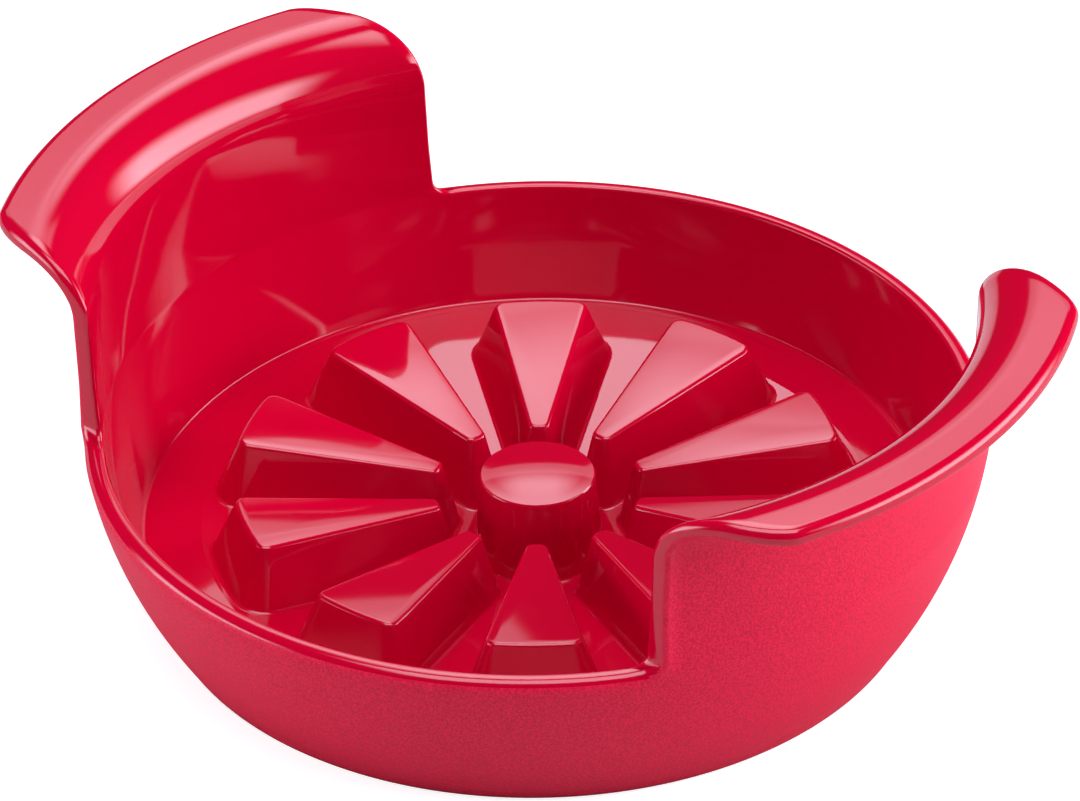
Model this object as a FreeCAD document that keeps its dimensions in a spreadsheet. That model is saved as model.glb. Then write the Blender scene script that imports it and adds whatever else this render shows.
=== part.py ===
"""Press tray of a hand fruit divider: a spherical bowl with a dished floor, ten press pads, a core hub
and two rolled finger grips.  Millimetres, +Z up, origin on the table under the bowl's axis, grips on X."""
import FreeCAD, Part
import Sketcher
import math
import os
import re
from FreeCAD import Placement, Rotation, Vector

doc = FreeCAD.newDocument("press_tray")

# Driving dimensions: alias, value, meaning
SIZES = [
    ("rim_radius", "66.2", "outside of the bowl at its rim"),
    ("rim_height", "27.7", "table to the top of the rim"),
    ("base_radius", "55.3", "outside of the foot on the table"),
    ("wall", "2.9", "moulded wall of bowl and grips"),
    ("rim_round", "1.9", "rounded outer edge of the rim"),
    ("rim_inner_round", "0.6", "rounded inner edge of the rim"),
    ("foot_round", "0.8", "rounded outer edge of the foot"),
    ("ring_height", "10.6", "flat outer ring of the floor above the table"),
    ("ring_radius", "49.5", "where the flat ring turns into the dished cone"),
    ("floor_wall", "2.4", "thickness of the floor"),
    ("floor_slope", "7.8", "degrees that the floor dips towards the hub"),
    ("pad_count", "10", "press pads around the hub"),
    ("pad_wall", "2.2", "moulded wall of a press pad"),
    ("pad_top_radius", "44.5", "outer end of a pad's top"),
    ("pad_top_width", "13.9", "width of a pad's top at its outer end"),
    ("pad_tip_radius", "15.3", "inner end of a pad's top"),
    ("pad_tip_width", "2.6", "width of a pad's top at its inner end"),
    ("pad_top_height", "19.4", "outer end of a pad's top above the table"),
    ("pad_top_slope", "5.8", "degrees that a pad's top dips towards the hub"),
    ("pad_root_radius", "48.6", "outer end of a pad at the floor"),
    ("pad_root_tip", "12.6", "inner end of a pad at the floor"),
    ("pad_root_angle", "13.6", "degrees from a pad's middle to its side at the floor"),
    ("pad_sink", "0.6", "depth of the pad blank that is cut to the dished floor"),
    ("hollow_setback", "4.4", "middle of a pad's tip to the point of its hollow"),
    ("hollow_tip_width", "1.1", "width of a pad's hollow at its roof's inner end"),
    ("pad_corner_round", "1.9", "rounded upright edges at a pad's outer end"),
    ("pad_tip_round", "1.1", "rounded upright edges at a pad's inner end"),
    ("pad_edge_round", "0.8", "rounded edges of a pad's top"),
    ("hub_foot_radius", "10.1", "hub where its foot fillet meets the floor"),
    ("hub_base_radius", "9.5", "hub above its foot fillet"),
    ("hub_fillet_rise", "0.6", "height of the hub's foot fillet"),
    ("hub_top_radius", "8.5", "crisp edge at the hub's top"),
    ("hub_edge_height", "18.3", "crisp edge of the hub above the table"),
    ("hub_dome_rise", "1.5", "dome above the crisp edge"),
    ("hub_wall", "2.4", "moulded wall of the hub"),
    ("grip_half_width", "40.5", "bowl's middle to the straight side of a grip"),
    ("grip_root_round", "2.0", "fillet where a grip's side runs into the rim"),
    ("grip_seat_depth", "3.0", "rim to the seam under a grip"),
    ("grip_flare", "4.5", "degrees that a grip's wall leans out"),
    ("lip_start_height", "49.5", "table to where the grip starts to roll out"),
    ("lip_curl_radius", "5.4", "underside of the rolled lip"),
    ("lip_turn", "108.5", "degrees from upright to the end of the roll"),
    ("lip_flat", "4.1", "straight end of the lip"),
    ("lip_round", "1.1", "rounded edges at the end of the lip"),
    ("lip_corner_round", "21.0", "rounded corners of the lip seen from above"),
]
sheet = doc.addObject("Spreadsheet::Sheet", "Sizes")
for row, (alias, amount, meaning) in enumerate(SIZES, start=1):
    sheet.set(f"A{row}", meaning)
    sheet.set(f"B{row}", amount)
    sheet.setAlias(f"B{row}", alias)
doc.recompute()

# Sizes that follow from the driving ones
WORKED = [
    ("zero", "0"),
    ("ball_height", "(rim_radius^2 + rim_height^2 - base_radius^2) / (2 * rim_height)"),
    ("ball_outer", "sqrt(base_radius^2 + ball_height^2)"),
    ("ball_inner", "ball_outer - wall"),
    ("rim_inner", "sqrt(ball_inner^2 - (ball_height - rim_height)^2)"),
    ("crease_radius", "sqrt(ball_inner^2 - (ball_height - ring_height)^2)"),
    ("under_height", "ring_height - floor_wall"),
    ("floor_edge", "sqrt(ball_inner^2 - (ball_height - under_height)^2)"),
    ("foot_inner", "base_radius - wall"),
    ("dip", "tan(floor_slope)"),
    ("cone_at_axis", "ring_height - ring_radius * dip"),
    ("cone_under_axis", "cone_at_axis - floor_wall / cos(floor_slope)"),
    ("cone_under_ring", "ring_radius - floor_wall * tan(floor_slope / 2)"),
    ("hub_bore", "hub_base_radius - hub_wall"),
    ("hub_bore_floor", "cone_at_axis + hub_bore * dip"),
    ("hub_bore_under", "cone_under_axis + hub_bore * dip"),
    ("hub_foot_floor", "cone_at_axis + hub_foot_radius * dip"),
    ("hub_side_start", "cone_at_axis + hub_base_radius * dip + hub_fillet_rise"),
    ("hub_top", "hub_edge_height + hub_dome_rise"),
    ("hub_dome_radius", "(hub_top_radius^2 + hub_dome_rise^2) / (2 * hub_dome_rise)"),
    ("hub_fillet_run", "hub_foot_radius - hub_base_radius"),
    ("hub_fillet_radius", "(hub_fillet_run^2 + (hub_side_start - hub_foot_floor)^2) / (2 * hub_fillet_run)"),
    ("hub_bore_top", "hub_edge_height - hub_wall"),
    ("hub_bore_top_radius", "hub_top_radius - hub_wall"),
    ("pad_top_half", "pad_top_width / 2"),
    ("pad_tip_half", "pad_tip_width / 2"),
    ("pad_top_end", "sqrt(pad_top_radius^2 - pad_top_half^2) / cos(pad_top_slope)"),
    ("pad_top_tip", "pad_tip_radius / cos(pad_top_slope)"),
    ("pad_top_axis", "pad_top_height - pad_top_radius * tan(pad_top_slope)"),
    ("pad_root_half", "pad_root_radius * sin(pad_root_angle)"),
    ("pad_root_end", "pad_root_radius * cos(pad_root_angle) / cos(floor_slope)"),
    ("pad_root_tip_half", "pad_root_tip * tan(pad_root_angle)"),
    ("pad_root_tip_end", "pad_root_tip / cos(floor_slope)"),
    ("pad_root_axis", "cone_at_axis - pad_sink"),
    ("hollow_top_half", "pad_top_half - pad_wall"),
    ("hollow_top_end", "pad_top_end - pad_wall"),
    ("hollow_tip", "(pad_root_tip + pad_tip_radius) / 2 + hollow_setback"),
    ("hollow_tip_half", "hollow_tip_width / 2"),
    ("hollow_top_axis", "pad_top_axis - pad_wall"),
    ("hollow_root_half", "pad_root_half - pad_wall"),
    ("hollow_root_end", "pad_root_end - pad_wall"),
    ("hollow_root_tip_half", "hollow_tip * tan(pad_root_angle) - pad_wall"),
    ("hollow_root_axis", "cone_under_axis - floor_wall"),
    ("hollow_top_arc", "pad_top_radius - pad_wall"),
    ("hollow_root_arc", "pad_root_radius - pad_wall"),
    ("seat_height", "rim_height - grip_seat_depth"),
    ("seat_outer", "sqrt(ball_outer^2 - (ball_height - seat_height)^2)"),
    ("seat_inner", "sqrt(ball_inner^2 - (ball_height - seat_height)^2)"),
    ("grip_foot_half", "grip_half_width + grip_root_round"),
    ("root_top", "rim_height + grip_root_round"),
    ("grip_foot_angle", "2 * asin(grip_foot_half / rim_inner)"),
    ("notch_inner", "seat_inner - wall"),
    ("notch_outer", "rim_radius + wall"),
    ("notch_top", "rim_height + wall"),
    ("curl_outer", "lip_curl_radius + wall"),
    ("roll_x", "rim_radius + (lip_start_height - rim_height) * tan(grip_flare)"),
    ("curl_x", "roll_x + lip_curl_radius * cos(grip_flare)"),
    ("curl_z", "lip_start_height - lip_curl_radius * sin(grip_flare)"),
    ("under_end_x", "curl_x - lip_curl_radius * cos(lip_turn)"),
    ("under_end_z", "curl_z + lip_curl_radius * sin(lip_turn)"),
    ("lip_under_x", "under_end_x + lip_flat * sin(lip_turn)"),
    ("lip_under_z", "under_end_z + lip_flat * cos(lip_turn)"),
    ("lip_top_x", "lip_under_x - wall * cos(lip_turn)"),
    ("lip_top_z", "lip_under_z + wall * sin(lip_turn)"),
    ("top_end_x", "curl_x - curl_outer * cos(lip_turn)"),
    ("top_end_z", "curl_z + curl_outer * sin(lip_turn)"),
    ("top_start_x", "curl_x - curl_outer * cos(grip_flare)"),
    ("top_start_z", "curl_z + curl_outer * sin(grip_flare)"),
    ("trim_top", "curl_z + curl_outer + wall"),
    ("trim_reach", "lip_top_x + wall"),
    ("corner_reach", "lip_top_x - lip_corner_round"),
    ("corner_x", "sqrt(corner_reach^2 - (grip_half_width - lip_corner_round)^2)"),
    ("corner_y", "grip_half_width - lip_corner_round"),
    ("corner_end_x", "corner_x * lip_top_x / corner_reach"),
    ("corner_end_y", "corner_y * lip_top_x / corner_reach"),
]
ANGLES = {"floor_slope", "pad_top_slope", "pad_root_angle", "grip_flare", "lip_turn"}
worked = doc.addObject("Spreadsheet::Sheet", "Worked")
driving = {alias for alias, _, _ in SIZES}


def source_of(word):
    """How a formula reads a word: a driving size from its own sheet, an angle in degrees."""
    if word in ANGLES:
        return f"(Sizes.{word} * 1deg)"
    return f"Sizes.{word}" if word in driving else word


for row, (alias, formula) in enumerate(WORKED, start=1):
    worked.set(f"A{row}", "=" + re.sub("[a-z_]+", lambda found: source_of(found[0]), formula))
    worked.setAlias(f"A{row}", alias)
doc.recompute()


def value(alias):
    """A size as a plain number, from whichever sheet holds it."""
    holder = sheet if alias in driving else worked
    found = holder.get(alias)
    return float(getattr(found, "Value", found))


def bound(alias):
    """The expression that reads a size."""
    return f"Sizes.{alias}" if alias in driving else f"Worked.{alias}"


def attach(sketch, body, role):
    """Lay a sketch on one of its own body's origin planes."""
    plane = next(item for item in body.Origin.OriginFeatures if item.Role == role)
    sketch.AttachmentSupport = (plane, "")
    sketch.MapMode = "FlatFace"


def pin(sketch, geometry, end, alias, along):
    """Hold one coordinate of a point at a size, or on the axis where the size is zero."""
    if alias == "zero":
        sketch.addConstraint(Sketcher.Constraint("PointOnObject", geometry, end, -2 if along == "X" else -1))
        return
    sign = -1 if alias.startswith("-") else 1
    alias = alias.lstrip("-")
    kind = "DistanceX" if along == "X" else "DistanceY"
    number = sketch.addConstraint(Sketcher.Constraint(kind, -1, 1, geometry, end, sign * value(alias)))
    sketch.setExpression(f"Constraints[{number}]", ("-" if sign < 0 else "") + bound(alias))


def outline(body, name, role, corners, arcs=None):
    """A closed sketch whose corners are pairs of sizes.  arcs maps a corner's number to the radius of the
    arc that leaves it and the side of its centre, +1 on the left and -1 on the right."""
    arcs = arcs or {}
    sketch = body.newObject("Sketcher::SketchObject", name)
    attach(sketch, body, role)

    def number(alias):
        return -value(alias[1:]) if alias.startswith("-") else value(alias)

    points = [Vector(number(across), number(up), 0) for across, up in corners]
    starts = []
    ends = []
    for index, start in enumerate(points):
        end = points[(index + 1) % len(points)]
        if index in arcs:
            radius, side = arcs[index]
            half = (end - start) * 0.5
            reach = math.sqrt(max(value(radius) ** 2 - half.Length ** 2, 0.0))
            across = Vector(-half.y, half.x, 0).normalize() * reach * side
            centre = start + half + across
            first, last = (start, end) if side > 0 else (end, start)
            angles = [math.atan2(point.y - centre.y, point.x - centre.x) for point in (first, last)]
            circle = Part.Circle(centre, Vector(0, 0, 1), value(radius))
            geometry = sketch.addGeometry(Part.ArcOfCircle(circle, angles[0], angles[1]), False)
            tie = sketch.addConstraint(Sketcher.Constraint("Radius", geometry, value(radius)))
            sketch.setExpression(f"Constraints[{tie}]", bound(radius))
            starts.append((geometry, 1 if side > 0 else 2))
            ends.append((geometry, 2 if side > 0 else 1))
        else:
            geometry = sketch.addGeometry(Part.LineSegment(start, end), False)
            starts.append((geometry, 1))
            ends.append((geometry, 2))
    for index, (across, up) in enumerate(corners):
        before = ends[index - 1]
        after = starts[index]
        sketch.addConstraint(Sketcher.Constraint("Coincident", before[0], before[1], after[0], after[1]))
        pin(sketch, after[0], after[1], across, "X")
        pin(sketch, after[0], after[1], up, "Y")
    return sketch


def turned(body, kind, name, sketch, angle=None):
    """Turn a sketch about the bowl's axis, right round or by a size centred on the sketch's plane."""
    feature = body.newObject(kind, name)
    feature.Profile = sketch
    feature.ReferenceAxis = (sketch, ["V_Axis"])
    feature.Angle = 360.0
    if angle:
        feature.setExpression("Angle", bound(angle))
        feature.Midplane = True
    doc.recompute()
    return feature


def rounded(body, name, radius, chosen):
    """Round the edges of the body's last feature that the chosen test accepts."""
    base = body.Tip
    edges = [f"Edge{index}" for index, edge in enumerate(base.Shape.Edges, start=1) if chosen(edge)]
    fillet = body.newObject("PartDesign::Fillet", name)
    fillet.Base = (base, edges)
    fillet.setExpression("Radius", bound(radius))
    doc.recompute()
    return fillet


def new_body(label, angle_steps="0"):
    """An empty body that is turned about the axis by a number or a formula of degrees."""
    body = doc.addObject("PartDesign::Body", label)
    body.Label = label
    body.Placement = Placement(Vector(), Rotation(Vector(0, 0, 1), 0))
    body.setExpression("Placement.Rotation.Angle", f"({angle_steps}) * 1deg")
    return body


NEAR = 1e-4


def ring_edge(radius, height):
    """A test for the circle at a radius and a height."""
    def test(edge):
        return all(
            abs(math.hypot(v.X, v.Y) - value(radius)) < NEAR and abs(v.Z - value(height)) < NEAR
            for v in edge.Vertexes
        )
    return test


# The bowl wall: a slice of a hollow ball, with a flat rounded rim above and a foot ring below the floor.
bowl_wall = new_body("bowl_wall")
wall_section = outline(bowl_wall, "wall_section", "XZ_Plane", [
    ("foot_inner", "zero"),
    ("base_radius", "zero"),
    ("rim_radius", "rim_height"),
    ("rim_inner", "rim_height"),
    ("crease_radius", "ring_height"),
    ("floor_edge", "ring_height"),
    ("floor_edge", "under_height"),
], {1: ("ball_outer", 1), 3: ("ball_inner", -1)})
turned(bowl_wall, "PartDesign::Revolution", "wall_turned", wall_section)
rounded(bowl_wall, "rim_rounds", "rim_round", ring_edge("rim_radius", "rim_height"))
rounded(bowl_wall, "rim_inner_rounds", "rim_inner_round", ring_edge("rim_inner", "rim_height"))
rounded(bowl_wall, "foot_rounds", "foot_round", ring_edge("base_radius", "zero"))
notch_section = outline(bowl_wall, "grip_notch", "XZ_Plane", [
    ("notch_inner", "seat_height"),
    ("notch_outer", "seat_height"),
    ("notch_outer", "notch_top"),
    ("notch_inner", "notch_top"),
])
notch = turned(bowl_wall, "PartDesign::Groove", "grip_notch_cut", notch_section, "grip_foot_angle")
both_notches = bowl_wall.newObject("PartDesign::PolarPattern", "both_notches")
both_notches.Originals = [notch]
both_notches.Axis = (notch_section, ["V_Axis"])
both_notches.Angle = 360
both_notches.Occurrences = 2
bowl_wall.Tip = both_notches
doc.recompute()


def tilt(sketch, height, slope):
    """Lift a sketch that lies on the XY plane and tilt it so that it rises outwards."""
    sketch.AttachmentOffset = Placement(Vector(0, 0, value(height)), Rotation(Vector(0, -1, 0), value(slope)))
    sketch.setExpression("AttachmentOffset.Base.z", bound(height))
    sketch.setExpression("AttachmentOffset.Rotation.Angle", f"{bound(slope)} * 1deg")


def wedge(body, name, end, half, arc, tip, tip_half, height, slope):
    """A pad-shaped outline along X: an arc at the outer end, straight sides and a short straight tip."""
    sketch = outline(body, name, "XY_Plane", [
        (end, "-" + half),
        (end, half),
        (tip, tip_half),
        (tip, "-" + tip_half),
    ], {0: (arc, 1)})
    tilt(sketch, height, slope)
    return sketch


def lofted(body, kind, name, lower, upper):
    """A solid or a hollow with straight walls between two outlines, drawn from the upper one down."""
    feature = body.newObject(kind, name)
    feature.Profile = upper
    feature.Sections = [lower]
    feature.Ruled = True
    doc.recompute()
    return feature


def hollow(body, name):
    """The hollow under one pad, which passes down through the floor."""
    lower = wedge(body, name + "_mouth", "hollow_root_end", "hollow_root_half", "hollow_root_arc",
                  "hollow_tip", "hollow_root_tip_half", "hollow_root_axis", "floor_slope")
    upper = wedge(body, name + "_roof", "hollow_top_end", "hollow_top_half", "hollow_top_arc",
                  "hollow_tip", "hollow_tip_half", "hollow_top_axis", "pad_top_slope")
    return lofted(body, "PartDesign::SubtractiveLoft", name, lower, upper)


# The press floor: a flat ring along the wall and a shallow cone down to the hub, open under pads and hub.
press_floor = new_body("press_floor", "180 / Sizes.pad_count")
floor_section = outline(press_floor, "floor_section", "XZ_Plane", [
    ("hub_bore", "hub_bore_under"),
    ("cone_under_ring", "under_height"),
    ("floor_edge", "under_height"),
    ("floor_edge", "ring_height"),
    ("ring_radius", "ring_height"),
    ("hub_bore", "hub_bore_floor"),
])
turned(press_floor, "PartDesign::Revolution", "floor_turned", floor_section)
pad_opening = hollow(press_floor, "pad_opening")
pad_openings = press_floor.newObject("PartDesign::PolarPattern", "pad_openings")
pad_openings.Originals = [pad_opening]
pad_openings.Axis = (floor_section, ["V_Axis"])
pad_openings.Angle = 360
pad_openings.setExpression("Occurrences", bound("pad_count"))
press_floor.Tip = pad_openings
doc.recompute()

# The core hub: a hollow post with a filleted foot, a slight taper and a low dome over a crisp edge.
core_hub = new_body("core_hub")
hub_section = outline(core_hub, "hub_section", "XZ_Plane", [
    ("hub_bore", "hub_bore_floor"),
    ("hub_foot_radius", "hub_foot_floor"),
    ("hub_base_radius", "hub_side_start"),
    ("hub_top_radius", "hub_edge_height"),
    ("zero", "hub_top"),
    ("zero", "hub_bore_top"),
    ("hub_bore_top_radius", "hub_bore_top"),
], {1: ("hub_fillet_radius", -1), 3: ("hub_dome_radius", 1)})
turned(core_hub, "PartDesign::Revolution", "hub_turned", hub_section)


def on_pad_top(vertex):
    """Whether a point lies on the plane of a pad's top."""
    rise = math.tan(math.radians(value("pad_top_slope")))
    return abs(vertex.Z - value("pad_top_axis") - vertex.X * rise) < NEAR


def upright(edge):
    """Whether an edge of a pad runs from its root to its top."""
    return sum(on_pad_top(vertex) for vertex in edge.Vertexes) == 1


def press_pad(number):
    """One press pad: a tapered hollow block with rounded edges, cut below to sit on the dished floor."""
    pad = new_body(f"press_pad_{number:02d}", f"{number - 0.5} * 360 / Sizes.pad_count")
    lower = wedge(pad, "pad_root", "pad_root_end", "pad_root_half", "pad_root_radius",
                  "pad_root_tip_end", "pad_root_tip_half", "pad_root_axis", "floor_slope")
    upper = wedge(pad, "pad_top", "pad_top_end", "pad_top_half", "pad_top_radius",
                  "pad_top_tip", "pad_tip_half", "pad_top_axis", "pad_top_slope")
    lofted(pad, "PartDesign::AdditiveLoft", "pad_blank", lower, upper)
    middle = (value("pad_tip_radius") + value("pad_top_radius")) / 2
    rounded(pad, "corner_rounds", "pad_corner_round",
            lambda edge: upright(edge) and edge.CenterOfMass.x > middle)
    rounded(pad, "tip_rounds", "pad_tip_round",
            lambda edge: upright(edge) and edge.CenterOfMass.x < middle)
    rounded(pad, "top_rounds", "pad_edge_round",
            lambda edge: all(on_pad_top(vertex) for vertex in edge.Vertexes))
    hollow(pad, "pad_hollow")
    seat = outline(pad, "floor_seat", "XZ_Plane", [
        ("zero", "zero"),
        ("floor_edge", "zero"),
        ("floor_edge", "ring_height"),
        ("ring_radius", "ring_height"),
        ("zero", "cone_at_axis"),
    ])
    turned(pad, "PartDesign::Groove", "seat_cut", seat)
    return pad


pads = [press_pad(number) for number in range(1, int(value("pad_count")) + 1)]


def pocket(body, name, sketch, reversed_cut=False, both_ways=False):
    """Cut a sketch right through a body."""
    feature = body.newObject("PartDesign::Pocket", name)
    feature.Profile = sketch
    feature.Type = 1
    feature.Midplane = both_ways
    feature.Reversed = reversed_cut
    doc.recompute()
    return feature


def grip(label, turn):
    """One finger grip: the bowl's wall carried up between two straight sides and rolled out into a lip."""
    body = new_body(label, turn)
    section = outline(body, "grip_section", "XZ_Plane", [
        ("seat_inner", "seat_height"),
        ("seat_outer", "seat_height"),
        ("rim_radius", "rim_height"),
        ("roll_x", "lip_start_height"),
        ("under_end_x", "under_end_z"),
        ("lip_under_x", "lip_under_z"),
        ("lip_top_x", "lip_top_z"),
        ("top_end_x", "top_end_z"),
        ("top_start_x", "top_start_z"),
        ("rim_inner", "rim_height"),
    ], {1: ("ball_outer", 1), 3: ("lip_curl_radius", -1), 7: ("curl_outer", 1), 9: ("ball_inner", -1)})
    turned(body, "PartDesign::Revolution", "grip_turned", section, "grip_foot_angle")
    lip_top_edge = ring_edge("lip_top_x", "lip_top_z")
    lip_under_edge = ring_edge("lip_under_x", "lip_under_z")
    rounded(body, "lip_rounds", "lip_round", lambda edge: lip_top_edge(edge) or lip_under_edge(edge))
    for side, bend in (("", -1), ("-", 1)):
        trim = outline(body, "side_trim", "YZ_Plane", [
            (side + "grip_foot_half", "rim_height"),
            (side + "grip_half_width", "root_top"),
            (side + "grip_half_width", "trim_top"),
            (side + "trim_reach", "trim_top"),
            (side + "trim_reach", "rim_height"),
        ], {0: ("grip_root_round", bend)})
        pocket(body, "side_trim_cut", trim, both_ways=True)
        corner = outline(body, "lip_corner", "XY_Plane", [
            ("corner_x", side + "grip_half_width"),
            ("corner_end_x", side + "corner_end_y"),
            ("trim_reach", side + "corner_end_y"),
            ("trim_reach", side + "trim_reach"),
            ("corner_x", side + "trim_reach"),
        ], {0: ("lip_corner_round", bend)})
        corner.AttachmentOffset = Placement(Vector(0, 0, value("root_top")), Rotation())
        corner.setExpression("AttachmentOffset.Base.z", bound("root_top"))
        pocket(body, "lip_corner_cut", corner, reversed_cut=True)
    return body


right_grip = grip("right_grip", "0")
left_grip = grip("left_grip", "180")

# Every object has to be sound before anything is written.
pieces = [bowl_wall, press_floor, core_hub] + pads + [right_grip, left_grip]
doc.recompute()
for item in doc.Objects:
    if "Invalid" in item.State or "Error" in item.State:
        raise RuntimeError(f"{item.Label} did not build: {item.State}")
for piece in pieces:
    if piece.Shape.isNull() or not piece.Shape.isValid() or len(piece.Shape.Solids) != 1:
        raise RuntimeError(f"{piece.Label} is not one sound solid")

os.makedirs("parts", exist_ok=True)
for piece in pieces:
    piece.Shape.exportStep(os.path.join("parts", f"{piece.Label}.step"))
    print(f"{piece.Label}: {piece.Shape.Volume / 1000:.2f} cm3")
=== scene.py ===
import bmesh
import bpy
import math
from mathutils import Matrix, Vector
from mathutils.kdtree import KDTree


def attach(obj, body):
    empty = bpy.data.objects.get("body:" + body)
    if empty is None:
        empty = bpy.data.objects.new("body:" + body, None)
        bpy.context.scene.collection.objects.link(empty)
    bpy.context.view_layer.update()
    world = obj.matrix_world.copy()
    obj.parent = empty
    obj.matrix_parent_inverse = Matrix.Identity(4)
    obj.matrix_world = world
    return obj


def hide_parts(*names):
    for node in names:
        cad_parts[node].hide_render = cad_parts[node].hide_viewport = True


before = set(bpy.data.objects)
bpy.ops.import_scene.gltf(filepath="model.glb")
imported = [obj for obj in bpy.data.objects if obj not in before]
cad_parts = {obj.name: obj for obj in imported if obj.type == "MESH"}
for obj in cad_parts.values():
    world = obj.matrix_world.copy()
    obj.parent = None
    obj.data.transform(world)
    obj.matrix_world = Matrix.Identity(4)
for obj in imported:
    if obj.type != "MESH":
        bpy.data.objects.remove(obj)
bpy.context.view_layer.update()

# The bowl with its two grips: one injection moulding in red plastic, a slice of a hollow ball whose wall is
# carried up on two sides and rolled out into a lip.  Every free edge is rounded, so that it is kind to hands.
MM = 0.001
RIM_HEIGHT = 27.7
RIM_ROUNDS = (1.7, 0.6)
GRIP_ROUNDS = (0.9, 0.6)
BALL_HEIGHT = 37.755
BALL_OUTER = 66.959
BALL_INNER = 64.059
GRIP_HALF_WIDTH = 40.5
GRIP_ROOT_ROUND = 2.0
GRIP_COLUMNS = 48
RIM_COLUMNS = 56
root_half = GRIP_HALF_WIDTH + GRIP_ROOT_ROUND


def grow(old_points, new_points):
    """Extrude the selected edges or face and move each new corner from the old outline to the new one."""
    bpy.ops.mesh.extrude_region_move()
    mesh = bpy.context.edit_object.data
    shape = bmesh.from_edit_mesh(mesh)
    finder = KDTree(len(old_points))
    for index, point in enumerate(old_points):
        finder.insert(point, index)
    finder.balance()
    for vertex in shape.verts:
        if vertex.select:
            vertex.co = new_points[finder.find(vertex.co)[1]]
    bmesh.update_edit_mesh(mesh)


def pick(points):
    """Select the corners at these points and nothing else."""
    bpy.ops.mesh.select_all(action="DESELECT")
    mesh = bpy.context.edit_object.data
    shape = bmesh.from_edit_mesh(mesh)
    finder = KDTree(len(shape.verts))
    for vertex in shape.verts:
        finder.insert(vertex.co, vertex.index)
    finder.balance()
    shape.verts.ensure_lookup_table()
    for point in points:
        shape.verts[finder.find(point)[1]].select_set(True)
    shape.select_flush(True)
    bmesh.update_edit_mesh(mesh)


def start_loop(name, points):
    """Begin a piece as one ring of corners, open for extruding."""
    bpy.ops.object.select_all(action="DESELECT")
    bpy.ops.mesh.primitive_circle_add(vertices=len(points), radius=MM)
    piece = bpy.context.object
    piece.name = name
    piece.data.name = name
    for vertex, point in zip(piece.data.vertices, points):
        vertex.co = point
    bpy.ops.object.mode_set(mode="EDIT")
    bpy.ops.mesh.select_mode(type="VERT")
    bpy.ops.mesh.select_all(action="SELECT")
    return piece


def close_piece(smooth_below):
    """Turn all faces outward, leave edit mode and smooth every edge that bends by less than this angle."""
    bpy.ops.mesh.select_all(action="SELECT")
    bpy.ops.mesh.normals_make_consistent(inside=False)
    bpy.ops.object.mode_set(mode="OBJECT")
    bpy.ops.object.shade_smooth_by_angle(angle=smooth_below)


def on_ring(radius, height, angle):
    """A point at a radius, a height and an angle round the bowl's axis, in metres."""
    return Vector((radius * math.cos(angle), radius * math.sin(angle), height)) * MM


def ball_radius(ball, height):
    """How far a ball's surface is from the axis at a height."""
    return math.sqrt(ball ** 2 - (BALL_HEIGHT - height) ** 2)


def wall_columns(half):
    """The angles of the corners round the bowl, gathered so that each grip's root has its own share."""
    angles = []
    for middle in (0.0, math.pi):
        angles += [middle + half * (2 * k / GRIP_COLUMNS - 1) for k in range(GRIP_COLUMNS + 1)]
        free = math.pi - 2 * half
        angles += [middle + half + free * k / RIM_COLUMNS for k in range(1, RIM_COLUMNS)]
    return angles


def wall_ring(radius, height, half):
    """One ring of the bowl's wall."""
    return [on_ring(radius, height, angle) for angle in wall_columns(half)]


# Meridians of the bowl: under the floor and round the foot to the outer rim, and over the crease to the inner
# rim.  The underside, from the floor's edge down to the inside of the foot ring, doesn't show in the photo.
FLANGE_RADIUS = 56.3
FLOOR_RING = 10.62
UNDERSIDE = [(FLANGE_RADIUS, 9.4), (FLANGE_RADIUS, 8.2), (55.2, 6.2), (53.8, 3.2), (52.4, 0.0), (53.4, 0.0)]
CREASE_RADIUS = 58.020
CREASE_ROUND = 0.7
CREASE_STEPS = 6
FOOT_RADIUS = 55.3
FOOT_ROUND = 0.8
FOOT_STEPS = 4
OUTER_STEPS = 16
INNER_STEPS = 12
outer_top = RIM_HEIGHT - RIM_ROUNDS[0]
inner_top = RIM_HEIGHT - RIM_ROUNDS[1]
outer_half = math.asin(root_half / ball_radius(BALL_OUTER, outer_top))
inner_half = math.asin(root_half / ball_radius(BALL_INNER, inner_top))
middle_half = (outer_half + inner_half) / 2
outer_meridian = list(UNDERSIDE)
foot_flat = FOOT_RADIUS - FOOT_ROUND
foot_bulge = ball_radius(BALL_OUTER, FOOT_ROUND) - foot_flat
for step in range(FOOT_STEPS + 1):
    turn = math.radians(90 * step / FOOT_STEPS)
    outer_meridian.append((foot_flat + foot_bulge * math.sin(turn), FOOT_ROUND * (1 - math.cos(turn))))
for step in range(1, OUTER_STEPS + 1):
    height = FOOT_ROUND + (outer_top - FOOT_ROUND) * step / OUTER_STEPS
    outer_meridian.append((ball_radius(BALL_OUTER, height), height))
crease_lean = math.asin((BALL_HEIGHT - FLOOR_RING) / BALL_INNER)
crease_reach = CREASE_ROUND * math.tan((math.pi / 2 - crease_lean) / 2)
inner_meridian = []
for step in range(CREASE_STEPS + 1):
    turn = (math.pi / 2 - crease_lean) * step / CREASE_STEPS
    inner_meridian.append((CREASE_RADIUS - crease_reach + CREASE_ROUND * math.sin(turn),
                           FLOOR_RING + CREASE_ROUND * (1 - math.cos(turn))))
crease_top = inner_meridian[-1][1]
for step in range(1, INNER_STEPS + 1):
    height = crease_top + (inner_top - crease_top) * step / INNER_STEPS
    inner_meridian.append((ball_radius(BALL_INNER, height), height))

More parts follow.
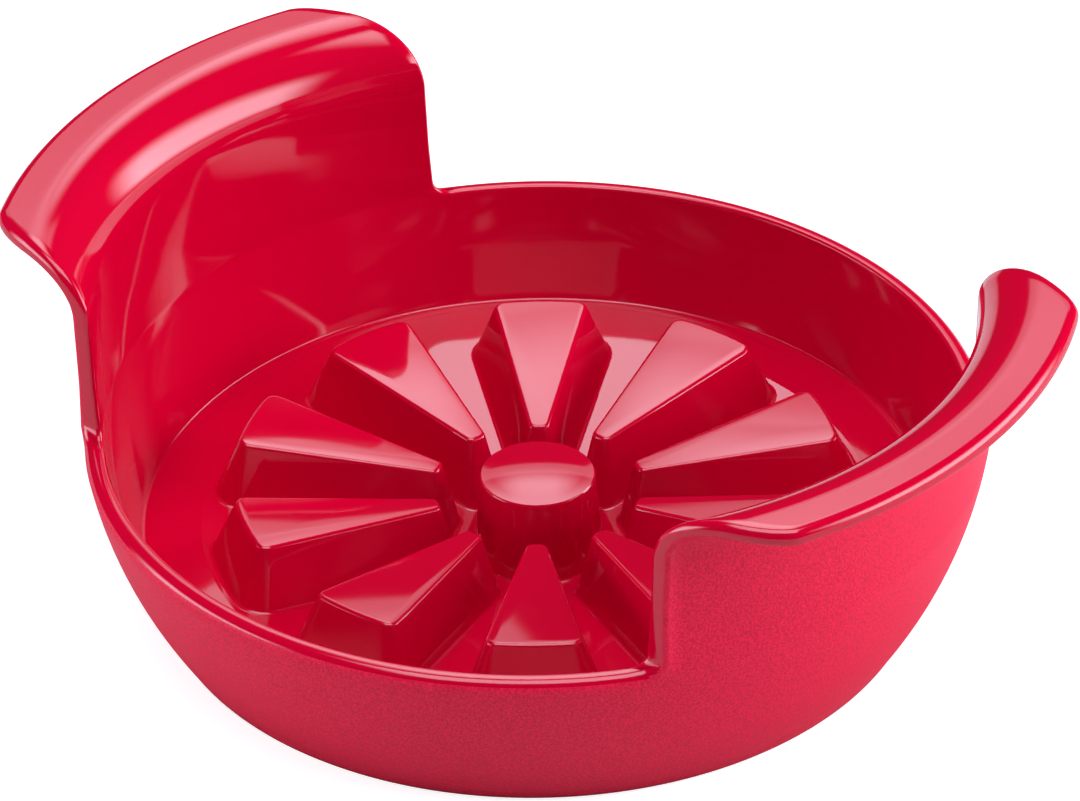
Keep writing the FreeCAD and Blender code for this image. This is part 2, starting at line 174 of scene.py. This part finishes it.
# Meridians of a grip: the wall thins as it leans out, rolls over and ends in a level lip, whose edge has a
# wide round above and a small one below.
FLARE = math.radians(2)
THIN_HEIGHT = 36.0
LIP_START = 46.8
CURL_RADII = (7.2, 9.5)
LIP_TURN = math.radians(90)
LIP_FLAT = 5.6
LIP_ROUNDS = (0.4, 1.5)
CORNER_ALONG = 14.0
CORNER_ACROSS = 7.0
ROOT_STEPS = 8
UPRIGHT_STEPS = 12
CURL_STEPS = 24
FLAT_STEPS = 12
thinning = (BALL_OUTER - BALL_INNER - CURL_RADII[1] + CURL_RADII[0]) / 2
rim_radii = (ball_radius(BALL_OUTER, RIM_HEIGHT), ball_radius(BALL_INNER, RIM_HEIGHT))
roll_x = rim_radii[0] - thinning + (LIP_START - RIM_HEIGHT) * math.tan(FLARE)
curl_x = roll_x + CURL_RADII[0] * math.cos(FLARE)
curl_z = LIP_START - CURL_RADII[0] * math.sin(FLARE)


def grip_wall(side, height):
    """A point of a grip's upright part at a height, on its outer skin 0 or its inner skin 1."""
    if height < RIM_HEIGHT:
        return ball_radius((BALL_OUTER, BALL_INNER)[side], height), height
    thinned = min(1.0, (height - RIM_HEIGHT) / (THIN_HEIGHT - RIM_HEIGHT)) * thinning
    lean = (height - RIM_HEIGHT) * math.tan(FLARE)
    return rim_radii[side] + lean + (thinned if side else -thinned), height


def curl_point(side, turn, along):
    """A point of the rolled lip: round the curl, then straight on."""
    return (curl_x - CURL_RADII[side] * math.cos(turn) + along * math.sin(turn),
            curl_z + CURL_RADII[side] * math.sin(turn) + along * math.cos(turn))


def grip_rows(side):
    """The rows of one skin of a grip: a point of the meridian, half the width there and the edge's round."""
    rows = []
    for step in range(1, ROOT_STEPS + 1):
        turn = math.radians(90 * step / ROOT_STEPS)
        edge_round = RIM_ROUNDS[side] + (GRIP_ROUNDS[side] - RIM_ROUNDS[side]) * step / ROOT_STEPS
        bend = GRIP_ROOT_ROUND + edge_round
        height = RIM_HEIGHT + GRIP_ROOT_ROUND - bend * math.cos(turn)
        rows.append([grip_wall(side, height), root_half - bend * math.sin(turn), edge_round])
    upright_start = RIM_HEIGHT + GRIP_ROOT_ROUND
    side_half = GRIP_HALF_WIDTH - GRIP_ROUNDS[side]
    for step in range(1, UPRIGHT_STEPS + 1):
        height = upright_start + (LIP_START - upright_start) * step / UPRIGHT_STEPS
        rows.append([grip_wall(side, height), side_half, GRIP_ROUNDS[side]])
    for step in range(1, CURL_STEPS + 1):
        turn = FLARE + (LIP_TURN - FLARE) * step / CURL_STEPS
        edge_round = GRIP_ROUNDS[side] + (LIP_ROUNDS[side] - GRIP_ROUNDS[side]) * step / CURL_STEPS
        rows.append([curl_point(side, turn, 0), GRIP_HALF_WIDTH - edge_round, edge_round])
    for step in range(1, FLAT_STEPS + 1):
        along = (LIP_FLAT - LIP_ROUNDS[side]) * (1 - (1 - step / FLAT_STEPS) ** 2)
        rows.append([curl_point(side, LIP_TURN, along), GRIP_HALF_WIDTH - LIP_ROUNDS[side], LIP_ROUNDS[side]])
    return rows


# The lip's corners are rounded along the middle of the wall, longer along the roll than across it.
skins = [grip_rows(0), grip_rows(1)]
middles = [(Vector(outer[0]) + Vector(inner[0])) / 2 for outer, inner in zip(*skins)]
from_edge = 0.0
for number in range(len(middles) - 1, 0, -1):
    share = 1 - from_edge / CORNER_ALONG
    if share <= 0:
        break
    for rows in skins:
        across = CORNER_ACROSS - rows[number][2]
        rows[number][1] -= across * (1 - math.sqrt(1 - share ** 2))
    from_edge += (middles[number] - middles[number - 1]).length


def grip_line(point, width, middle):
    """One row of a grip, from side to side."""
    half = math.asin(width / point[0])
    return [on_ring(*point, middle + half * (2 * k / GRIP_COLUMNS - 1)) for k in range(GRIP_COLUMNS + 1)]


def raise_grip(side, rim_row, middle):
    """Grow one grip from its share of the rim and return its rows with their edge rounds, the rim's first."""
    rows = [(rim_row, RIM_ROUNDS[side])]
    pick(rim_row)
    for point, width, edge_round in skins[side]:
        line = grip_line(point, width, middle)
        grow(rows[-1][0], line)
        rows.append((line, edge_round))
    return rows


def free_edge(side, rim, grips):
    """The open edge of one skin and its rounds: up a grip's side, along its lip, down, on along the rim."""
    edge = []
    for number, rows in enumerate(grips):
        edge += [(row[0], edge_round) for row, edge_round in rows]
        edge += [(point, LIP_ROUNDS[side]) for point in rows[-1][0][1:-1]]
        edge += [(row[-1], edge_round) for row, edge_round in reversed(rows)]
        start = (number + 1) * (GRIP_COLUMNS + 1) + number * (RIM_COLUMNS - 1)
        edge += [(point, RIM_ROUNDS[side]) for point in rim[start:start + RIM_COLUMNS - 1]]
    return edge


def grow_skin(side, first_ring, meridian, rim_half):
    """Grow one skin of the bowl from its hidden ring up to the rim and on up both grips."""
    ring = first_ring
    for radius, height in meridian:
        share = height / RIM_HEIGHT
        new_ring = wall_ring(radius, height, middle_half + (rim_half - middle_half) * share)
        grow(ring, new_ring)
        ring = new_ring
    second = GRIP_COLUMNS + RIM_COLUMNS
    grips = [raise_grip(side, ring[:GRIP_COLUMNS + 1], 0.0),
             raise_grip(side, ring[second:second + GRIP_COLUMNS + 1], math.pi)]
    return free_edge(side, ring, grips)


hidden_ring = wall_ring(FLANGE_RADIUS, FLOOR_RING, middle_half)
bowl = start_loop("bowl_with_grips", hidden_ring)
outer_edge = grow_skin(0, hidden_ring, outer_meridian, outer_half)
pick(hidden_ring)
inner_edge = grow_skin(1, hidden_ring, inner_meridian, inner_half)

# The free edges: a flat between two rounds, swept along the whole outline.  Along the rim and the grips'
# sides the outer round is the larger one, and along the lip it is the upper one, which is the inner skin's.
outer_line = [point for point, edge_round in outer_edge]
inner_line = [point for point, edge_round in inner_edge]
pick(outer_line)
count = len(outer_line)
EDGE_STEPS = 6
WELD = 0.005
quarter = [math.radians(90 * k / EDGE_STEPS) for k in range(EDGE_STEPS + 1)]
section = [(math.sin(turn), 1 - math.cos(turn), 0) for turn in quarter[1:]]
section += [(math.cos(turn), math.sin(turn) - 1, 1) for turn in quarter]
edge_line = outer_line
for out, through, far in section:
    new_line = []
    for index in range(count):
        following = (index + 1) % count
        along = outer_line[following] + inner_line[following] - outer_line[index - 1] - inner_line[index - 1]
        along.normalize()
        across = inner_line[index] - outer_line[index]
        across -= along * across.dot(along)
        lean = math.asin((outer_edge[index][1] - inner_edge[index][1]) * MM / across.length)
        across.normalize()
        beside = along.cross(across)
        inward = across * math.cos(lean) - beside * math.sin(lean)
        outward = across * math.sin(lean) + beside * math.cos(lean)
        start, edge_round = (outer_edge, inner_edge)[far][index]
        new_line.append(start + (outward * out + inward * through) * edge_round * MM)
    grow(edge_line, new_line)
    edge_line = new_line
bpy.ops.mesh.select_all(action="SELECT")
bpy.ops.mesh.remove_doubles(threshold=WELD * MM)
close_piece(math.radians(40))


def linear(hex_colour):
    """An sRGB hex colour as linear red, green and blue with full alpha."""
    parts = [int(hex_colour[k:k + 2], 16) / 255 for k in (1, 3, 5)]
    return [p / 12.92 if p <= 0.04045 else ((p + 0.055) / 1.055) ** 2.4 for p in parts] + [1.0]


def add_node(tree, kind, settings=None, links=None):
    """Add a node with its settings, given by socket or by property, and link its inputs."""
    node = tree.nodes.new(kind)
    for key, setting in (settings or {}).items():
        if key in node.inputs:
            node.inputs[key].default_value = setting
        else:
            setattr(node, key, setting)
    for key, source in (links or {}).items():
        tree.links.new(source, node.inputs[key])
    return node


def break_up(tree, shader, size, detail, roughness, bump):
    """Break up a surface with noise of a size, as roughness between two values and as a bump with a strength
    and a depth, and return the noise."""
    place = add_node(tree, "ShaderNodeTexCoord")
    noise = add_node(tree, "ShaderNodeTexNoise", {"Scale": 1 / (size * MM), "Detail": detail},
                     {"Vector": place.outputs["Object"]}).outputs["Fac"]
    spread = add_node(tree, "ShaderNodeMapRange", {"To Min": roughness[0], "To Max": roughness[1]},
                      {"Value": noise})
    tree.links.new(spread.outputs["Result"], shader.inputs["Roughness"])
    relief = add_node(tree, "ShaderNodeBump", {"Strength": bump[0], "Distance": bump[1] * MM},
                      {"Height": noise})
    tree.links.new(relief.outputs["Normal"], shader.inputs["Normal"])
    return noise


# Gloss red: ABS from a polished mould.  It is saturated and deep and mirrors lamps clearly, and the mould's
# polish leaves a faint waviness that breaks up long reflections.
ABS_IOR = 1.53
POLISH_WAVE = 9.0
gloss_red = bpy.data.materials.new("abs_gloss_red")
gloss_red.use_nodes = True
tree = gloss_red.node_tree
shader = tree.nodes["Principled BSDF"]
shader.inputs["Base Color"].default_value = linear("#C6002B")
shader.inputs["IOR"].default_value = ABS_IOR
break_up(tree, shader, POLISH_WAVE, detail=3.0, roughness=(0.04, 0.08), bump=(0.04, 0.1))

# Grained red: the same ABS from a spark-eroded mould.  It looks matte; its base colour is painted a little
# paler than the gloss red, a painted sheen, and the grit paints it into lighter and darker specks, painted
# glints and painted shade of the grit, besides the real glints of its rough, bumped surface.  The grit is
# drawn coarser than the real one, so that it shows.
GRIT = 0.34
grain_red = bpy.data.materials.new("abs_grained_red")
grain_red.use_nodes = True
tree = grain_red.node_tree
shader = tree.nodes["Principled BSDF"]
shader.inputs["IOR"].default_value = ABS_IOR
shader.inputs["Specular IOR Level"].default_value = 0.2
grit = break_up(tree, shader, GRIT, detail=1.0, roughness=(0.36, 0.6), bump=(0.45, 0.06))
# Painted glints and painted shade: the grit noise makes the base colour lighter and darker speck by speck.
painted_glints_and_shade = add_node(tree, "ShaderNodeValToRGB", links={"Fac": grit})
painted_glints_and_shade.color_ramp.elements[0].position = 0.32
painted_glints_and_shade.color_ramp.elements[0].color = linear("#CC0A33")
painted_glints_and_shade.color_ramp.elements[1].position = 0.68
painted_glints_and_shade.color_ramp.elements[1].color = linear("#F01A47")
tree.links.new(painted_glints_and_shade.outputs["Color"], shader.inputs["Base Color"])

# Only the outer skin is grained: the free edges are polished.
PLAIN_BORDER = 0.3
SKIN_SLACK = 0.3
CURL_SLACK = 1.0
bowl.data.materials.append(gloss_red)
bowl.data.materials.append(grain_red)
edge_finder = KDTree(count)
for index, point in enumerate(outer_line):
    edge_finder.insert(point, index)
edge_finder.balance()
for face in bowl.data.polygons:
    centre = face.center
    reach = math.hypot(centre.x, centre.y) / MM
    level = centre.z / MM
    if level < RIM_HEIGHT:
        on_outside = math.hypot(reach, level - BALL_HEIGHT) > BALL_OUTER - SKIN_SLACK and level > FOOT_ROUND
    else:
        from_curl = math.hypot(reach - curl_x, level - curl_z)
        under_lip = reach > roll_x - CURL_SLACK and from_curl < CURL_RADII[0] + SKIN_SLACK
        on_outside = under_lip or (level < LIP_START and reach > grip_wall(0, level)[0] - SKIN_SLACK)
    if on_outside and edge_finder.find(centre)[2] > PLAIN_BORDER * MM:
        face.material_index = 1
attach(bowl, "root")
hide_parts("bowl_wall", "right_grip", "left_grip")

# The press floor: a flat ring along the wall and a shallow cone that dips to the hub, moulded with the bowl.
# Its solid is right as it stands and only takes the polished finish.
floor_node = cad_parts["press_floor"]
floor_node.data.materials.clear()
floor_node.data.materials.append(gloss_red)

# The core hub: a hollow post with a filleted foot and a low dome over a crisp edge, moulded with the floor.
# It pushes the fruit's core into the cutter's tube.
CONE_AT_AXIS = 3.819
CONE_DIP = math.tan(math.radians(7.8))
SKIRT_SINK = 0.03
HUB_STEPS = 96
HUB_EDGE = (8.5, 18.3)
HUB_EDGE_ROUND = 0.25
HUB_EDGE_CUT = 0.08
HUB_EDGE_LIFT = 0.09
HUB_DOME_RISE = 0.8
HUB_SIDE_RADIUS = 9.5
HUB_SIDE_RINGS = (3.5, 7.0)
HUB_FOOT_RADIUS = 10.1
HUB_SKIRT_RADIUS = 10.8
HUB_FILLET_RISE = 0.6
HUB_FILLET_STEPS = 6
DOME_STEPS = 12
hub_side = (HUB_SIDE_RADIUS, CONE_AT_AXIS + HUB_SIDE_RADIUS * CONE_DIP + HUB_FILLET_RISE)
hub_foot = (HUB_FOOT_RADIUS, CONE_AT_AXIS + HUB_FOOT_RADIUS * CONE_DIP)
hub_profile = [(HUB_SKIRT_RADIUS, CONE_AT_AXIS + HUB_SKIRT_RADIUS * CONE_DIP - SKIRT_SINK), hub_foot]
for step in range(1, HUB_FILLET_STEPS + 1):
    turn = math.radians(90 * step / HUB_FILLET_STEPS)
    hub_profile.append((hub_foot[0] + (hub_side[0] - hub_foot[0]) * math.sin(turn),
                        hub_foot[1] + (hub_side[1] - hub_foot[1]) * (1 - math.cos(turn))))
lean = (HUB_EDGE[0] - hub_side[0]) / (HUB_EDGE[1] - hub_side[1])
hub_profile += [(hub_side[0] + lean * rise, hub_side[1] + rise) for rise in HUB_SIDE_RINGS]
dome_ball = (HUB_EDGE[0] ** 2 + HUB_DOME_RISE ** 2) / (2 * HUB_DOME_RISE)
dome_centre = HUB_EDGE[1] + HUB_DOME_RISE - dome_ball
hub_profile += [(HUB_EDGE[0] - lean * HUB_EDGE_ROUND, HUB_EDGE[1] - HUB_EDGE_ROUND),
                (HUB_EDGE[0] - HUB_EDGE_CUT, HUB_EDGE[1] - HUB_EDGE_CUT),
                (HUB_EDGE[0] - HUB_EDGE_ROUND, HUB_EDGE[1] + HUB_EDGE_LIFT)]
for step in range(1, DOME_STEPS):
    radius = (HUB_EDGE[0] - HUB_EDGE_ROUND) * (1 - step / DOME_STEPS)
    hub_profile.append((radius, dome_centre + math.sqrt(dome_ball ** 2 - radius ** 2)))
HUB_BORE = [(HUB_SKIRT_RADIUS, 5.1), (7.1, 4.6), (6.6, 10.0), (6.1, 15.9), (2.0, 15.9)]


def hub_ring(radius, height):
    """One ring of the hub."""
    return [on_ring(radius, height, 2 * math.pi * k / HUB_STEPS) for k in range(HUB_STEPS)]


foot_ring = hub_ring(*hub_profile[0])
hub = start_loop("core_hub_post", foot_ring)
for profile in (hub_profile[1:], HUB_BORE):
    ring = foot_ring
    pick(ring)
    for radius, height in profile:
        new_ring = hub_ring(radius, height)
        grow(ring, new_ring)
        ring = new_ring
    bpy.ops.mesh.extrude_region_move()
    bpy.ops.mesh.merge(type="CENTER")
close_piece(math.radians(32))
hub.data.materials.append(gloss_red)
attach(hub, "root")
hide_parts("core_hub")

# The ten press pads: tapered hollow wedges moulded on the floor, which push the slices between the blades.
# Their tops dip to the hub, their edges are rounded, and a small fillet runs round each root.
PAD_COUNT = 10
PAD_TOP_SLOPE = math.tan(math.radians(5.8))
PAD_TOP_END = (44.5, 19.4)
PAD_TOP_AXIS = PAD_TOP_END[1] - PAD_TOP_END[0] * PAD_TOP_SLOPE
PAD_WALL = 2.2
PAD_EDGE_ROUND = 0.5
PAD_EDGE_STEPS = 5
ROOT_FILLET = 0.55
FILLET_STEPS = 6
FLOOR_SINK = 0.02
SKIRT = 0.9
CORNER_STEPS = 7
TIP_STEPS = 5
SIDE_STEPS = 7
END_STEPS = 9


def wedge_outline(end_radius, end, tip, corner, tip_round):
    """A pad's outline from above: an arc at the outer end, straight sides, a blunt tip, rounded corners."""
    side = Vector(end) - Vector(tip)
    side.normalize()
    inward = Vector((side.y, -side.x))
    start = Vector(tip) + inward * corner
    reach = end_radius - corner
    middle = start.dot(side)
    run = -middle + math.sqrt(middle ** 2 - start.length_squared + reach ** 2)
    centre = start + side * run
    tip_start = Vector(tip) + inward * tip_round
    tip_run = (tip[0] + tip_round - tip_start.x) / side.x
    tip_centre = tip_start + side * tip_run
    end_turn = math.atan2(centre.y, centre.x)
    side_turn = math.atan2(-inward.y, -inward.x)
    half = []
    for step in range(1, END_STEPS):
        turn = end_turn * step / END_STEPS
        half.append(Vector((math.cos(turn), math.sin(turn))) * end_radius)
    for step in range(CORNER_STEPS):
        turn = end_turn + (side_turn - end_turn) * step / (CORNER_STEPS - 1)
        half.append(centre + Vector((math.cos(turn), math.sin(turn))) * corner)
    side_end = half[-1]
    tip_end = tip_centre - inward * tip_round
    for step in range(1, SIDE_STEPS):
        half.append(side_end.lerp(tip_end, step / SIDE_STEPS))
    for step in range(TIP_STEPS):
        turn = side_turn + (math.pi - side_turn) * step / (TIP_STEPS - 1)
        half.append(tip_centre + Vector((math.cos(turn), math.sin(turn))) * tip_round)
    other = [Vector((point.x, -point.y)) for point in reversed(half)]
    return [Vector((end_radius, 0))] + half + other


def on_cone(point, lift):
    """A point of an outline laid on the dished floor and lifted by a little."""
    height = min(FLOOR_RING - FLOOR_SINK, CONE_AT_AXIS + CONE_DIP * point.length)
    return Vector((point.x, point.y, height + lift)) * MM


def on_top(point, drop):
    """A point of an outline laid on the plane of the pad's top, lowered by a wall."""
    return Vector((point.x, point.y, PAD_TOP_AXIS + PAD_TOP_SLOPE * point.x - drop)) * MM


# The pad's root on the floor, its top, and the mouth and roof of the hollow under it, each seen from above.
# The rounds are those of the outer corners and of the tip.
ROOT_ANGLE = math.radians(13.3)
ROOT_RADIUS = 48.4
ROOT_TIP = 12.9
ROOT_ROUNDS = (4.0, 1.5)
TOP_RADIUS = 44.6
TOP_HALF = 7.15
TOP_TIP = (15.1, 1.4)
TOP_ROUNDS = (1.6, 1.1)
MOUTH_ANGLE = 0.187
MOUTH_RADIUS = 46.4
MOUTH_TIP = (18.2, 1.9)
MOUTH_ROUNDS = (1.2, 0.6)
ROOF_RADIUS = 42.3
ROOF_END = (42.0, 4.75)
ROOF_TIP = (18.4, 0.6)
ROOF_ROUNDS = (0.6, 0.25)
root_end = (ROOT_RADIUS * math.cos(ROOT_ANGLE), ROOT_RADIUS * math.sin(ROOT_ANGLE))
root_tip = (ROOT_TIP, ROOT_TIP * math.tan(ROOT_ANGLE))
root_flat = wedge_outline(ROOT_RADIUS, root_end, root_tip, *ROOT_ROUNDS)
top_end = (math.sqrt(TOP_RADIUS ** 2 - TOP_HALF ** 2), TOP_HALF)
top_flat = wedge_outline(TOP_RADIUS, top_end, TOP_TIP, *TOP_ROUNDS)
skirt_flat = []
for index, point in enumerate(root_flat):
    along = root_flat[(index + 1) % len(root_flat)] - root_flat[index - 1]
    skirt_flat.append(point + Vector((along.y, -along.x)).normalized() * SKIRT)
mouth_end = (MOUTH_RADIUS * math.cos(MOUTH_ANGLE), MOUTH_RADIUS * math.sin(MOUTH_ANGLE))
mouth_flat = wedge_outline(MOUTH_RADIUS, mouth_end, MOUTH_TIP, *MOUTH_ROUNDS)
roof_flat = wedge_outline(ROOF_RADIUS, ROOF_END, ROOF_TIP, *ROOF_ROUNDS)
root_loop = [on_cone(point, 0) for point in root_flat]
top_loop = [on_top(point, 0) for point in top_flat]
skirt_loop = [on_cone(point, -SKIRT_SINK) for point in skirt_flat]
mouth_loop = [on_cone(point, -SKIRT_SINK) for point in mouth_flat]
roof_loop = [on_top(point, PAD_WALL) for point in roof_flat]

first_pad = start_loop("press_pad_block_01", root_loop)
grow(root_loop, top_loop)
bpy.ops.mesh.edge_face_add()
bpy.ops.mesh.bevel(offset=PAD_EDGE_ROUND * MM, segments=PAD_EDGE_STEPS, profile=0.5, affect="EDGES")
pick(root_loop)
grow(root_loop, skirt_loop)
grow(skirt_loop, mouth_loop)
grow(mouth_loop, roof_loop)
bpy.ops.mesh.edge_face_add()
pick(root_loop)
bpy.ops.mesh.bevel(offset=ROOT_FILLET * MM, segments=FILLET_STEPS, profile=0.5, affect="EDGES")
close_piece(math.radians(32))
first_pad.data.materials.append(gloss_red)
blank = first_pad.data.copy()
for number in range(1, PAD_COUNT + 1):
    pad = first_pad
    if number > 1:
        pad = bpy.data.objects.new(f"press_pad_block_{number:02d}", blank.copy())
        bpy.context.scene.collection.objects.link(pad)
    pad.data.transform(Matrix.Rotation(2 * math.pi * (number - 0.5) / PAD_COUNT, 4, "Z"))
    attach(pad, "root")
    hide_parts(f"press_pad_{number:02d}")

# The table: a plain pale sheet that keeps a soft shadow.  The camera sees it lifted to white; to the part it
# is pale grey, so that it doesn't flood the outer wall with bounced light.
TABLE_SIZE = 8
TABLE_LIFT = 0.82
bpy.ops.object.select_all(action="DESELECT")
bpy.ops.mesh.primitive_plane_add(size=TABLE_SIZE)
table = bpy.context.object
table.name = "table"
paper = bpy.data.materials.new("matt_pale_paper")
paper.use_nodes = True
tree = paper.node_tree
shader = tree.nodes["Principled BSDF"]
shader.inputs["Base Color"].default_value = linear("#CECECE")
shader.inputs["Roughness"].default_value = 0.9
shader.inputs["Emission Color"].default_value = (1, 1, 1, 1)
path = add_node(tree, "ShaderNodeLightPath")
lift = add_node(tree, "ShaderNodeMath", {"operation": "MULTIPLY"})
tree.links.new(path.outputs["Is Camera Ray"], lift.inputs[0])
lift.inputs[1].default_value = TABLE_LIFT
tree.links.new(lift.outputs["Value"], shader.inputs["Emission Strength"])
table.data.materials.append(paper)

# Studio light: a softbox behind with a dim strip under it, one standing at each side of the table, and a bank
# overhead.  All of them fade at their borders and are a little cool.  They are placed round the part from the
# camera's azimuth, in degrees and metres.
AZIMUTH = math.radians(37.25)
LAMP_TINT = (0.95, 0.95, 1.08)


def softbox(name, turn, elevation, distance, width, height, radiance, fades):
    """A soft lamp that faces the part from an angle to the right of straight back and an elevation.  It fades
    over these shares of its left and right, its lower and its upper border."""
    around = AZIMUTH - math.radians(turn)
    rise = math.radians(elevation)
    place = Vector((-math.sin(around) * math.cos(rise), math.cos(around) * math.cos(rise), math.sin(rise)))
    lamp = bpy.data.objects.new(name, bpy.data.lights.new(name, "AREA"))
    lamp.data.shape = "RECTANGLE"
    lamp.data.size = width
    lamp.data.size_y = height
    lamp.data.energy = radiance * math.pi * width * height
    lamp.data.color = LAMP_TINT
    facing = (-place).to_track_quat("-Z", "Y").to_matrix()
    lamp.matrix_world = Matrix.Translation(place * distance) @ facing.to_4x4()
    bpy.context.scene.collection.objects.link(lamp)
    lamp.data.use_nodes = True
    tree = lamp.data.node_tree
    where = add_node(tree, "ShaderNodeNewGeometry")
    split = add_node(tree, "ShaderNodeSeparateXYZ", links={"Vector": where.outputs["Parametric"]})
    level = None
    for axis, start, end in (("X", 0.0, fades[0]), ("X", 1.0, 1 - fades[0]),
                             ("Y", 0.0, fades[1]), ("Y", 1.0, 1 - fades[2])):
        border = add_node(tree, "ShaderNodeMapRange", {"interpolation_type": "SMOOTHSTEP", "From Min": start,
                                                       "From Max": end}, {"Value": split.outputs[axis]})
        if level:
            product = add_node(tree, "ShaderNodeMath", {"operation": "MULTIPLY"})
            tree.links.new(level, product.inputs[0])
            tree.links.new(border.outputs["Result"], product.inputs[1])
            level = product.outputs["Value"]
        else:
            level = border.outputs["Result"]
    tree.links.new(level, tree.nodes["Emission"].inputs["Strength"])


softbox("back_softbox", 0, 52, 1.2, 0.62, 0.86, 4.8, (0.4, 0.35, 0.1))
softbox("back_strip", -2, 34.2, 1.22, 1.0, 0.17, 1.2, (0.12, 0.2, 0.2))
softbox("right_softbox", 92, 20, 1.2, 1.7, 0.9, 7.8, (0.25, 0.25, 0.4))
softbox("left_softbox", -95, 15, 1.2, 1.2, 0.7, 6.2, (0.3, 0.1, 0.35))
softbox("overhead_bank", 180, 80, 1.3, 1.3, 1.0, 5.0, (0.2, 0.2, 0.2))
world = bpy.data.worlds.new("studio")
world.use_nodes = True
world.node_tree.nodes["Background"].inputs["Color"].default_value = (0.02, 0.02, 0.02, 1)
bpy.context.scene.world = world

# The camera: a long lens, almost without perspective, slightly rolled as in the photograph.
ELEVATION = math.radians(33.96)
ROLL = math.radians(1.134)
DISTANCE = 1.39463
AIM = Vector((0, 0, 0.0194))
SHIFT_RIGHT = -0.0005607
SHIFT_UP = -0.00977665
right = Vector((math.cos(AZIMUTH), math.sin(AZIMUTH), 0))
back = Vector((math.sin(AZIMUTH) * math.cos(ELEVATION), -math.cos(AZIMUTH) * math.cos(ELEVATION),
               math.sin(ELEVATION)))
up = back.cross(right)
camera = bpy.data.objects.new("camera", bpy.data.cameras.new("camera"))
camera.data.sensor_width = 36
camera.data.sensor_fit = "HORIZONTAL"
camera.data.lens = 317.9
spot = AIM + back * DISTANCE - right * SHIFT_RIGHT - up * SHIFT_UP
across = right * math.cos(ROLL) - up * math.sin(ROLL)
upward = right * math.sin(ROLL) + up * math.cos(ROLL)
turned = Matrix((across, upward, back)).transposed().to_4x4()
camera.matrix_world = Matrix.Translation(spot) @ turned
bpy.context.scene.collection.objects.link(camera)
bpy.context.scene.camera = camera
bpy.context.scene.view_settings.view_transform = "Standard"
